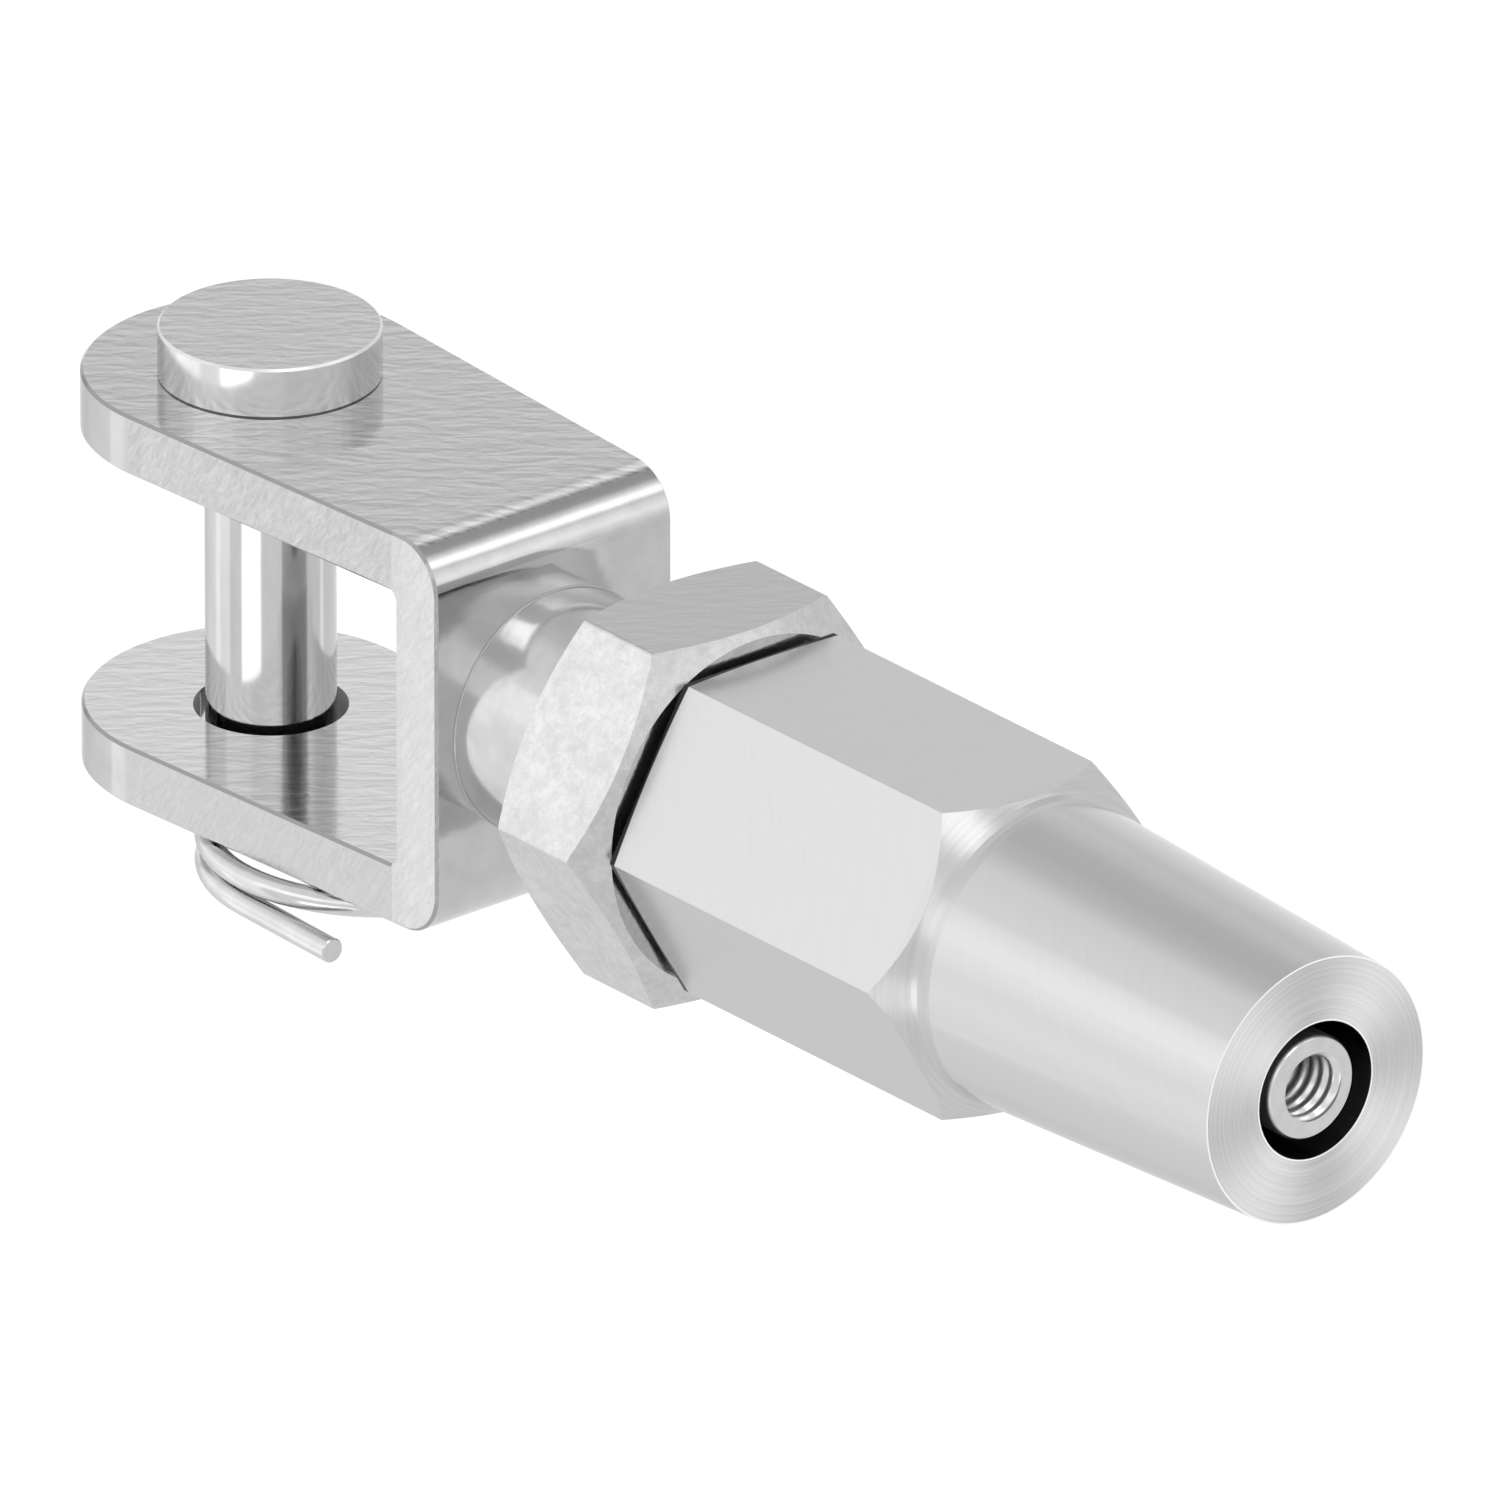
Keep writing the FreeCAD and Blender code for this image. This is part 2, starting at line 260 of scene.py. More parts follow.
# Rolled strip of the fork.
BRIDGE_FROM = 18.5
EAR_UNTIL = 18.0
INNER_WALL_FROM = 17.0
INNER_WALL_LEAN = -0.2
TIP_UNTIL = -0.45
HOLE_WITHIN = 3.95
HOLE_HALF = (0.77, 0.64)  # weights of X and Y on the line that halves the holes
EAR_EDGE_LEAN = (0.4, 0.9)
STROKE_TURN = (0, 35, 0)
STROKE_GRAIN = (0.3, 1.0, 1.0)
# Painted light: the lower ear's top is painted lighter than the upper ear's. Both tops carry the
# wrinkles' painted light and shade.
UPPER_FLAT_TONES = (0.40, 0.57)
LOWER_FLAT_TONES = (0.54, 0.70)
UPPER_SIDE_TONES = (0.41, 0.55)
LOWER_SIDE_TONES = (0.455, 0.505)
BRIDGE_SIDE_TONES = (0.50, 0.59)
BEND_TONES = (0.51, 0.56)
TIP_TONES = (0.46, 0.50)
# Painted shade: dark lines painted along the broken edges of the ears and the bends.
EAR_EDGE_SHADE_TONE = 0.30
BEND_EDGE_SHADE_TONE = 0.36
# Painted light: the bridge's face beside the neck, the inside of the jaw and one half of the holes'
# walls are painted paler.
NECK_SIDE_LIGHT_TONE = 0.67
NECK_SIDE_Y = (0.5, 3.5)  # the patch beside the neck fades out over this
NECK_SIDE_Z = (-4.0, -1.0)  # and fades in over this
INSIDE_LIGHT_TONE = 0.72
INSIDE_ROUGH = 0.7
SIDE_ROUGHS = (0.20, 0.15)
BEND_ROUGHS = (0.11, 0.08)
POLISHED_ROUGH = 0.10
BEND_RELIEF = 0.2
STRIP_HEIGHT = 0.035


def rolled_strip():
    """Rolled strip: wrinkled faces and dark edges with painted shade, smooth bends, sheared sides
    with slanting strokes.

    The inside of the jaw, one half of the holes' walls and the bridge's face beside the neck are
    painted paler, as painted light, because metal in metal's own shade comes out too dark. The
    inside of the jaw is also duller.
    """
    it = Steel("strip")
    upper = it.over(it.z, 0.0)
    flat = it.over(it.size(it.nz), FACING)
    at_bridge = it.over(it.x, BRIDGE_FROM)
    sideways = it.over(it.size(it.ny), SIDEWAYS)
    upright = it.under(it.size(it.nz), LEANING)
    sheared = it.both(upright, it.without(it.both(at_bridge, it.without(sideways))))
    tip = it.both(sheared, it.under(it.x, TIP_UNTIL))
    broken = it.between(it.size(it.ny), LEANING, FACING)
    ear_edge = it.both(
        it.between(it.nz, *EAR_EDGE_LEAN), it.either(broken, it.under(it.x, EAR_UNTIL)))
    bend_edge = it.both(broken, at_bridge)
    # Painted light on one half of the holes' walls.
    half = it.over(it.tree.math(
        "SUBTRACT", it.times(it.y, HOLE_HALF[1]), it.times(it.x, HOLE_HALF[0])), 0.0)
    hole = it.both(half, it.both(
        it.under(it.size(it.nz), FACING), it.under(it.radius(it.x, it.y), HOLE_WITHIN)))
    inner_wall = it.both(it.under(it.nx, INNER_WALL_LEAN), it.over(it.x, INNER_WALL_FROM))
    underside = it.both(it.under(it.nz, -FACING), upper)
    inside = it.either(inner_wall, it.either(underside, hole))
    # Painted light: a paler patch on the bridge's face beside the neck.
    neck_side = it.both(it.over(it.nx, SQUARE_ON), it.both(
        it.tree.ramp(it.y, *NECK_SIDE_Y, 1.0, 0.0), it.tree.ramp(it.z, *NECK_SIDE_Z, 0.0, 1.0)))
    wrinkles, lines = it.wrinkles()
    smooth = it.noise(scale=0.7, detail=2.0, roughness=0.5)
    strokes = it.grained(
        STROKE_GRAIN, detail=4.0, roughness=0.7, distortion=0.9, turn=STROKE_TURN)
    side = it.pick(
        upper, it.spread(strokes, UPPER_SIDE_TONES), it.spread(strokes, LOWER_SIDE_TONES))
    side = it.pick(it.both(at_bridge, sideways), it.spread(strokes, BRIDGE_SIDE_TONES), side)
    level = it.pick(sheared, side, it.spread(smooth, BEND_TONES))
    level = it.pick(tip, it.spread(smooth, TIP_TONES), level)
    # Painted light and shade: a lighter lower ear top, and painted shade along the wrinkles.
    flat_level = it.pick(
        upper, it.spread(lines, UPPER_FLAT_TONES), it.spread(lines, LOWER_FLAT_TONES))
    level = it.pick(flat, flat_level, level)
    # Painted shade along the edges of the ears and the bends.
    level = it.pick(ear_edge, EAR_EDGE_SHADE_TONE, level)
    level = it.pick(bend_edge, BEND_EDGE_SHADE_TONE, level)
    # Painted light beside the neck and inside the jaw.
    level = it.pick(neck_side, NECK_SIDE_LIGHT_TONE, level)
    level = it.pick(inside, INSIDE_LIGHT_TONE, level)
    rough = it.pick(sheared, it.spread(strokes, SIDE_ROUGHS), it.spread(smooth, BEND_ROUGHS))
    rough = it.pick(tip, POLISHED_ROUGH, rough)
    rough = it.pick(inside, INSIDE_ROUGH, rough)
    rough = it.pick(it.over(it.nx, FACING), POLISHED_ROUGH, rough)
    smooth_relief = it.times(smooth, BEND_RELIEF)
    relief = it.pick(
        flat, it.times(wrinkles, WRINKLE_RELIEF), it.pick(sheared, strokes, smooth_relief))
    relief = it.pick(tip, smooth_relief, relief)
    return it.done(level, rough, relief, STRIP_HEIGHT)


# Blasted steel of the lock nut.
MOTTLE_SHARES = (0.35, 0.65)
MOTTLE_SPAN = (0.36, 0.64)
NUT_FLAT_FACING = 0.95
# Painted shade: the two flats are painted darker than the sides, with painted light and shade along
# the wrinkles.
NUT_FLAT_SHADE_TONES = (0.43, 0.48)
NUT_SIDE_TONES = (0.52, 0.64)
NUT_CHAMFER_TONES = (0.47, 0.57)
# Painted light: the rear face, towards the bridge, is painted paler.
NUT_REAR_LIGHT_TONE = 0.75
NUT_REAR_ROUGH = 0.6
NUT_END_ROUGHS = (0.14, 0.10)
NUT_SIDE_ROUGHS = (0.30, 0.24)
NUT_END_RELIEF = 0.3
NUT_FLAT_RELIEF = 0.15
BLASTED_HEIGHT = 0.05


def blasted():
    """Matt mottling in two sizes on the sides, two flats painted darker as shade with painted
    wrinkle shade, smoother ends, and a rear face painted paler as light.
    """
    it = Steel("blasted_steel")
    coarse = it.noise(scale=0.6, detail=2.0, roughness=0.5)
    fine = it.noise(scale=2.1, detail=4.0, roughness=0.7)
    mottle = it.tree.math(
        "ADD", it.times(coarse, MOTTLE_SHARES[0]), it.times(fine, MOTTLE_SHARES[1]))
    flat = it.over(it.size(it.nz), NUT_FLAT_FACING)
    end = it.over(it.size(it.nx), FACING)
    rear = it.under(it.nx, -FACING)
    chamfer = it.between(it.nx, LEANING, FACING)
    wrinkles, lines = it.wrinkles()
    # Painted shade on the two flats.
    level = it.pick(
        flat, it.spread(lines, NUT_FLAT_SHADE_TONES), it.spread(mottle, NUT_SIDE_TONES, MOTTLE_SPAN))
    # Painted light on the rear face.
    level = it.pick(rear, NUT_REAR_LIGHT_TONE, level)
    level = it.pick(chamfer, it.spread(mottle, NUT_CHAMFER_TONES, MOTTLE_SPAN), level)
    rough = it.pick(end, it.spread(mottle, NUT_END_ROUGHS), it.spread(mottle, NUT_SIDE_ROUGHS))
    rough = it.pick(rear, NUT_REAR_ROUGH, rough)
    relief = it.pick(flat, it.times(wrinkles, NUT_FLAT_RELIEF), mottle)
    relief = it.pick(end, it.times(mottle, NUT_END_RELIEF), relief)
    return it.done(level, rough, relief, BLASTED_HEIGHT)


# Turned steel of the socket.
RING_DENSITY = 7.5
RING_TURN_DENSITY = 0.35
SLANT_TURN = (0, -40, 0)
SLANT_GRAIN = (0.3, 3.0, 3.0)
MARK_GRAIN = (0.16, 4.0, 4.0)
SOFT_GRAIN = (6.0, 1.5, 1.5)
# Painted shade: the rear rim is painted black, as the shade of the gap behind the socket, up to
# REAR_RIM_X at REAR_RIM_RADIUS, and further out at the corners.
REAR_RIM_X = 37.64
REAR_RIM_RADIUS = 8.2
REAR_RIM_SLOPE = 0.16
# Painted highlights: the end's outer rim and the mouth's rim are painted white.
FRONT_RIM_RADIUS = 6.80
MOUTH_RIM_RADIUS = 3.64
NOSE_FROM = 59.6
ROOT_SPAN = (57.9, 59.7)
# Painted sheen: a fourfold highlight painted round the end, in place of the glints of its turning
# grooves.
SHEEN_WAVES = 4.0
SHEEN_TURN = 202.0
SHEEN_DEPTH = 0.11
END_RING_TONES = (0.62, 0.72)
FLAT_TONES = (0.525, 0.535)
CONE_TONES = (0.50, 0.57)
RIM_HIGHLIGHT_TONE = 1.0
GAP_SHADE_TONE = 0.03
NOSE_ROUGHS = (0.14, 0.11)
FLAT_ROUGHS = (0.20, 0.18)
END_ROUGHS = (0.26, 0.22)
ROOT_ROUGH = 0.32
FLAT_RELIEF = 0.03
NOSE_RELIEF = 0.05
CONE_RELIEF = 0.08
TURNED_HEIGHT = 0.03


def turned():
    """Turned bar: end rings with a painted fourfold sheen and painted rim highlights, a rear rim of
    painted shade, slanting lines on the flats, smooth nose.
    """
    it = Steel("turned_steel")
    radius = it.radius(it.y, it.z)
    angle = it.tree.math("ARCTAN2", it.z, it.y)
    polar = it.tree.add("ShaderNodeCombineXYZ", {
        "X": it.times(radius, RING_DENSITY), "Y": it.times(angle, RING_TURN_DENSITY), "Z": 0.0})
    rings = it.tree.noise(polar.outputs["Vector"], scale=1.0, detail=2.0, roughness=0.6)
    slant = it.grained(SLANT_GRAIN, detail=3.0, roughness=0.6, turn=SLANT_TURN)
    marks = it.grained(MARK_GRAIN, detail=2.0, roughness=0.6)
    soft = it.grained(SOFT_GRAIN, detail=2.0, roughness=0.5)
    end = it.over(it.size(it.nx), FACING)
    cone = it.between(it.nx, LEANING, FACING)
    # Painted shade of the gap at the rear rim.
    rim_end = it.tree.math(
        "MULTIPLY_ADD", radius, REAR_RIM_SLOPE, REAR_RIM_X - REAR_RIM_SLOPE * REAR_RIM_RADIUS)
    gap_shade = it.both(it.over(rim_end, it.x), it.without(end))
    # Painted highlights on the end's outer and mouth rims.
    rim_highlights = it.both(it.over(it.nx, FACING), it.either(
        it.over(radius, FRONT_RIM_RADIUS), it.under(radius, MOUTH_RIM_RADIUS)))
    nose = it.both(it.over(it.x, NOSE_FROM), it.without(end))
    root = it.between(it.x, *ROOT_SPAN)
    # Painted sheen on the end.
    sheen = it.tree.math("COSINE", it.tree.math(
        "MULTIPLY_ADD", angle, SHEEN_WAVES, math.radians(-SHEEN_TURN)))
    end_level = it.tree.math("MULTIPLY_ADD", sheen, SHEEN_DEPTH, it.spread(rings, END_RING_TONES))
    level = it.pick(end, end_level, it.spread(slant, FLAT_TONES))
    level = it.pick(cone, it.spread(marks, CONE_TONES), level)
    # Painted highlight on the rims.
    level = it.pick(rim_highlights, RIM_HIGHLIGHT_TONE, level)
    # Painted shade: the rear rim is black.
    level = it.pick(gap_shade, GAP_SHADE_TONE, level)
    rough = it.pick(nose, it.spread(soft, NOSE_ROUGHS), it.spread(slant, FLAT_ROUGHS))
    rough = it.pick(it.either(root, cone), ROOT_ROUGH, rough)
    rough = it.pick(end, it.spread(rings, END_ROUGHS), rough)
    relief = it.pick(end, rings, it.times(slant, FLAT_RELIEF))
    relief = it.pick(cone, it.times(marks, CONE_RELIEF), relief)
    relief = it.pick(nose, it.times(soft, NOSE_RELIEF), relief)
    return it.done(level, rough, relief, TURNED_HEIGHT, "X")


# Steel of the grip collet.
COLLET_FACE_TONES = (0.60, 0.66)
COLLET_BORE_TONES = (0.56, 0.62)
COLLET_FACE_ROUGHS = (0.24, 0.20)
COLLET_BORE_ROUGHS = (0.34, 0.30)
COLLET_HEIGHT = 0.01


def bore_steel():
    """The collet: a plain face and a duller bore."""
    it = Steel("bore_steel")
    face = it.over(it.nx, SIDEWAYS)
    patch = it.noise(scale=1.2, detail=2.0, roughness=0.5)
    level = it.pick(
        face, it.spread(patch, COLLET_FACE_TONES), it.spread(patch, COLLET_BORE_TONES))
    rough = it.pick(
        face, it.spread(patch, COLLET_FACE_ROUGHS), it.spread(patch, COLLET_BORE_ROUGHS))
    return it.done(level, rough, patch, COLLET_HEIGHT)


# Ground steel of the clevis pin.
HEAD_FROM = 10.5
# Painted shade: a dark line painted round the foot of the head.
HEAD_SHADE_SPAN = (10.50, 10.60)
STREAK_GRAIN = (1.1, 1.1, 6.0)
HEAD_TOP_TONES = (0.42, 0.58)
# Painted light: the head's side is painted lighter than the shank. The head top carries the
# wrinkles' painted light and shade.
HEAD_SIDE_LIGHT_TONES = (0.65, 0.72)
SHANK_TONES = (0.51, 0.57)
HEAD_SHADE_TONE = 0.12
HEAD_TOP_ROUGHS = (0.16, 0.12)
SHANK_ROUGHS = (0.13, 0.11)
HEAD_SIDE_ROUGH = 0.17
HEAD_RIM_ROUGH = 0.34
STREAK_RELIEF = 0.08
PIN_HEIGHT = 0.035


def ground_pin():
    """Ground shank, a head side painted lighter as light, a wrinkled head top with painted wrinkle
    shade, and a line of painted shade under the head.
    """
    it = Steel("ground_steel")
    flat = it.over(it.size(it.nz), FACING)
    rim = it.between(it.size(it.nz), LEANING, FACING)
    head = it.over(it.z, HEAD_FROM)
    streaks = it.grained(STREAK_GRAIN, detail=3.0, roughness=0.55)
    wrinkles, lines = it.wrinkles()
    # Painted light on the head's side. Below, the head top gets painted wrinkle shade.
    level = it.pick(head, it.spread(streaks, HEAD_SIDE_LIGHT_TONES), it.spread(streaks, SHANK_TONES))
    level = it.pick(flat, it.spread(lines, HEAD_TOP_TONES), level)
    # Painted shade under the head.
    level = it.pick(it.between(it.z, *HEAD_SHADE_SPAN), HEAD_SHADE_TONE, level)
    rough = it.pick(flat, it.spread(wrinkles, HEAD_TOP_ROUGHS), it.spread(streaks, SHANK_ROUGHS))
    rough = it.pick(it.both(head, it.without(flat)), HEAD_SIDE_ROUGH, rough)
    rough = it.pick(rim, HEAD_RIM_ROUGH, rough)
    relief = it.pick(
        flat, it.times(wrinkles, WRINKLE_RELIEF), it.times(streaks, STREAK_RELIEF))
    return it.done(level, rough, relief, PIN_HEIGHT)


# Drawn wire and the machined neck, with the weld bead at the neck's root, which is painted darker
# as shade.
NECK_TONES = (0.49, 0.54)
NECK_ROUGHS = (0.18, 0.14)
WIRE_TONES = (0.56, 0.62)
WIRE_ROUGHS = (0.18, 0.12)
BEAD_LEAN = (0.12, 0.97)
BEAD_SPAN = (20.0, 23.0)
# Painted shade: the bead's tone is darker than the neck's.
BEAD_SHADE = 0.85
BEAD_ROUGHS = (0.42, 0.30)
BEAD_RELIEF = 4.0
DRAWN_HEIGHT = 0.012


def drawn(name, tones, roughs):
    """Drawn wire or a machined neck: almost smooth, with soft patches and a dull weld bead that is
    painted darker as shade.
    """
    it = Steel(name)
    patch = it.noise(scale=0.8, detail=2.0, roughness=0.5)
    weld = it.noise(scale=2.2, detail=3.0, roughness=0.6)
    bead = it.both(it.between(it.nx, *BEAD_LEAN), it.between(it.x, *BEAD_SPAN))
    # The bead's roughness and bump are its own finish. Its darker tone is painted shade.
    level = it.pick(bead, tones[0] * BEAD_SHADE, it.spread(patch, tones))
    rough = it.pick(bead, it.spread(weld, BEAD_ROUGHS), it.spread(patch, roughs))
    relief = it.pick(bead, it.times(weld, BEAD_RELIEF), patch)
    return it.done(level, rough, relief, DRAWN_HEIGHT)


# Meshes. The sharp edges are over these angles, in degrees.
ROUND_COLUMNS = 96
LATHE_SHARP = 30
COLLET_SHARP = 35
RING_SHARP = 35


def finish_mesh(name, mesh, sharp_angle):
    """Object with smooth shading and sharp edges over an angle in degrees."""
    data = bpy.data.meshes.new(name)
    mesh.to_mesh(data)
    mesh.free()
    data.shade_smooth()
    data.set_sharp_from_angle(angle=math.radians(sharp_angle))
    return place_object(name, data)


def full_turn(count):
    return [2 * math.pi * index / count for index in range(count)]


def band(mesh, lower, upper):
    """Faces between two rows of the same length, closed round. A row of one point makes a fan."""
    columns = max(len(lower), len(upper))
    for index in range(columns):
        after = index + 1
        corners = []
        for row, place in ((lower, index), (upper, index), (upper, after), (lower, after)):
            corner = row[place % len(row)]
            if corner not in corners:
                corners.append(corner)
        mesh.faces.new(corners)


def ring_of_points(mesh, radius_at, x, angles):
    """Row of points about X, with a radius that may change with the angle."""
    row = []
    for angle in angles:
        radius = radius_at(angle)
        row.append(mesh.verts.new(
            (x * MM, radius * math.cos(angle) * MM, radius * math.sin(angle) * MM)))
    return row


# Collet shape: (x, radius) points of the outside, and the ribbed bore.
COLLET_PROFILE = (
    (57.015, 5.448), (57.595, 5.448), (70.525, 3.4), (71.235, 2.69), (78.95, 2.69),
    (79.1, 2.66), (79.19, 2.57))
COLLET_REAR = 57.015
COLLET_FRONT = 79.205
COLLET_LIP_RADIUS = 2.45
COLLET_BORE_ROWS = 480
BORE_TIP = 1.6
BORE_ROOT = 1.84
BORE_MOUTH = 1.9
BORE_MOUTH_DEPTH = 0.25
RIB_PITCH = 0.74


def bore_radius(x, angle):
    """Radius of the ribbed bore: rounded helical ribs that fade out at the mouth."""
    phase = x / RIB_PITCH - angle / (2 * math.pi)
    depth = 0.5 + 0.5 * math.cos(2 * math.pi * phase)
    mouth = max(0.0, 1 - (COLLET_FRONT - x) / BORE_MOUTH_DEPTH)
    ribbed = BORE_TIP + (BORE_ROOT - BORE_TIP) * depth
    return ribbed + (BORE_MOUTH - BORE_ROOT) * mouth * mouth


def make_collet():
    """The collet's tube with its cone behind and a ribbed bore."""
    mesh = bmesh.new()
    angles = full_turn(ROUND_COLUMNS)
    length = COLLET_FRONT - COLLET_REAR
    rows = []
    for index in range(COLLET_BORE_ROWS + 1):
        x = COLLET_REAR + length * index / COLLET_BORE_ROWS
        rows.append(ring_of_points(mesh, lambda angle: bore_radius(x, angle), x, angles))
    rows.append(ring_of_points(mesh, lambda angle: COLLET_LIP_RADIUS, COLLET_FRONT, angles))
    for x, radius in reversed(COLLET_PROFILE):
        rows.append(ring_of_points(mesh, lambda angle: radius, x, angles))
    for lower, upper in zip(rows, rows[1:] + rows[:1]):
        band(mesh, lower, upper)
    bmesh.ops.recalc_face_normals(mesh, faces=mesh.faces)
    return finish_mesh("ribbed_collet", mesh, COLLET_SHARP)


def lathe(name, profile):
    """Closed body of revolution about X, from (x, radius) points that start and end on the axis."""
    mesh = bmesh.new()
    rows = []
    for x, radius in profile:
        angles = full_turn(ROUND_COLUMNS if radius > 0 else 1)
        rows.append(ring_of_points(mesh, lambda angle: radius, x, angles))
    for lower, upper in zip(rows, rows[1:]):
        band(mesh, lower, upper)
    bmesh.ops.recalc_face_normals(mesh, faces=mesh.faces)
    return finish_mesh(name, mesh, LATHE_SHARP)


# Stud shape.
THROAT_X = 18.7
RIVET_RADIUS = 5.1
RIVET_DEPTH = 0.6
SPIGOT_RADIUS = 4.5
BRIDGE_X = 21.875
NECK_RADIUS = 6.35
NECK_END = 29.595
NECK_EDGE = 0.1
ROOT_RADIUS = 0.1
ROOT_STEPS = 12
THREAD_RADIUS = 6.3
THREAD_GROOVE_RADIUS = 5.75
THREAD_FLANK = 0.5
THREAD_GROOVE_END = 0.72
THREAD_PITCH = 1.27
THREAD_RUNOUT = 0.6
THREAD_UNTIL = 55.6
STUD_END = 56.995
STUD_END_CHAMFER = 0.8
CUP_RADIUS = 2.4
CUP_BOTTOM = 55.61


def make_stud():
    """The riveted spigot, the neck with its tight root and the thread with its cupped end."""
    profile = [
        (THROAT_X, 0.0), (THROAT_X, RIVET_RADIUS), (THROAT_X + RIVET_DEPTH, SPIGOT_RADIUS),
        (BRIDGE_X, SPIGOT_RADIUS)]
    for step in range(ROOT_STEPS + 1):
        turn = math.radians(90 * step / ROOT_STEPS)
        profile.append((BRIDGE_X + ROOT_RADIUS * (1 - math.cos(turn)),
                        NECK_RADIUS + ROOT_RADIUS * (1 - math.sin(turn))))
    profile += [
        (NECK_END - NECK_EDGE, NECK_RADIUS), (NECK_END, NECK_RADIUS - NECK_EDGE / 2),
        (NECK_END + NECK_EDGE / 2, THREAD_RADIUS)]
    x = NECK_END + THREAD_RUNOUT
    while x < THREAD_UNTIL:
        profile += [
            (x, THREAD_RADIUS), (x + THREAD_FLANK, THREAD_GROOVE_RADIUS),
            (x + THREAD_GROOVE_END, THREAD_GROOVE_RADIUS)]
        x += THREAD_PITCH
    profile += [
        (STUD_END - STUD_END_CHAMFER, THREAD_RADIUS), (STUD_END, THREAD_RADIUS - STUD_END_CHAMFER),
        (STUD_END, CUP_RADIUS), (CUP_BOTTOM, 0.0)]
    return lathe("necked_stud", profile)


# Split ring shape. Its angles are in degrees about the coil's own axis.
WIRE_RADIUS = 0.635
WIRE_EDGE = 0.06
WIRE_SIDES = 20
COIL_RADIUS = 8.64
COIL_STEP = 1.38
COIL_TOP_Z = -11.26
COIL_START = 210.0
COIL_TILT_FROM = 330.0
COIL_LEAD_FROM = 628.0
COIL_LEAD = 7.2
ARC_STEPS = 24
TILT_STEPS = 36


def spoke(angle):
    turn = math.radians(angle)
    return Vector((math.cos(turn), math.sin(turn), 0.0))


def coil_line():
    """Points along the middle of the wire: a level arc, a tilted half turn, an arc and a lead."""
    tilt = math.asin(COIL_STEP / (2 * COIL_RADIUS))
    drift = 2 * COIL_RADIUS * (1 - math.cos(tilt))
    outward = spoke(COIL_TILT_FROM)
    along = spoke(COIL_TILT_FROM + 90)
    lower = Vector((COIL_RADIUS, 0, COIL_TOP_Z - COIL_STEP))
    upper = Vector((COIL_RADIUS, 0, COIL_TOP_Z)) - outward * drift
    inward = Vector((-outward.x * math.cos(tilt), -outward.y * math.cos(tilt), -math.sin(tilt)))
    middle = upper + outward * COIL_RADIUS + inward * COIL_RADIUS
    points = []
    for step in range(ARC_STEPS):
        angle = COIL_START + (COIL_TILT_FROM - COIL_START) * step / ARC_STEPS
        points.append(upper + spoke(angle) * COIL_RADIUS)
    for step in range(TILT_STEPS):
        turn = math.pi * step / TILT_STEPS
        points.append(middle - inward * (COIL_RADIUS * math.cos(turn))
                      + along * (COIL_RADIUS * math.sin(turn)))
    level_from = COIL_TILT_FROM + 180
    for step in range(ARC_STEPS + 1):
        angle = level_from + (COIL_LEAD_FROM - level_from) * step / ARC_STEPS
        points.append(lower + spoke(angle) * COIL_RADIUS)
    points.append(points[-1] + spoke(COIL_LEAD_FROM + 90) * COIL_LEAD)
    return points


def make_ring():
    """Round wire along the coil's line, with lightly broken edges at its two ends."""
    points = coil_line()
    steps = [(after - before).normalized() for before, after in zip(points, points[1:])]
    bisectors = [(first + second).normalized() for first, second in zip(steps, steps[1:])]
    first, last = steps[0], steps[-1]
    stations = [
        (points[0], first, WIRE_RADIUS - WIRE_EDGE),
        (points[0] + first * WIRE_EDGE, first, WIRE_RADIUS)]
    stations += [(point, way, WIRE_RADIUS) for point, way in zip(points[1:-1], bisectors)]
    stations += [
        (points[-1] - last * WIRE_EDGE, last, WIRE_RADIUS),
        (points[-1], last, WIRE_RADIUS - WIRE_EDGE)]
    mesh = bmesh.new()
    rows = []
    for point, way, radius in stations:
        side = way.cross(Vector((0, 0, 1))).normalized()
        upward = side.cross(way)
        spokes = [side * math.cos(turn) + upward * math.sin(turn) for turn in full_turn(WIRE_SIDES)]
        rows.append([mesh.verts.new((point + spoke * radius) * MM) for spoke in spokes])
    for lower, upper in zip(rows, rows[1:]):
        band(mesh, lower, upper)
    mesh.faces.new(rows[0])
    mesh.faces.new(rows[-1])
    bmesh.ops.recalc_face_normals(mesh, faces=mesh.faces)
    return finish_mesh("wire_ring", mesh, RING_SHARP)


# Studio, in metres, with radiances for a white of 1.
STUDIO_MIDDLE = Vector((35 * MM, 0, 0))
WORLD_LIGHT = 0.95
FLOOR_PLACE = (0.03, 0, -0.3)
FLOOR_HALF_WIDTH = 3.0
FLOOR_TONE = 0.99
WALL_DISTANCE = 0.6
WALL_WIDTH = 2.4
# Stops of (degrees, radiance) round the part. On the side, 0 is -Y and 90 is up. On the back,
# 0 is up and 90 is +X.
SIDE_STOPS = (
    (-180, 1.05), (-160, 1.20), (-140, 0.82), (-120, 0.80), (-104, 0.86), (-90, 0.98),
    (-72, 1.07), (-56, 1.14), (-40, 1.26), (-24, 1.34), (-8, 1.30), (8, 1.43), (24, 1.42),
    (40, 1.23), (72, 1.12), (88, 0.86), (104, 0.76), (120, 0.78), (136, 0.92), (152, 1.02),
    (180, 1.05))
BACK_STOPS = (
    (-180, 1.0), (-70, 0.95), (-59, 0.86), (-47, 0.84), (-36, 1.2), (-24, 1.42), (-12, 0.50),
    (1, 0.50), (13, 0.56), (25, 1.15), (35, 2.0), (42, 1.95), (50, 1.0), (61, 1.25), (74, 1.45),
    (86, 1.15), (97, 0.95), (109, 0.87), (121, 0.92), (180, 1.0))
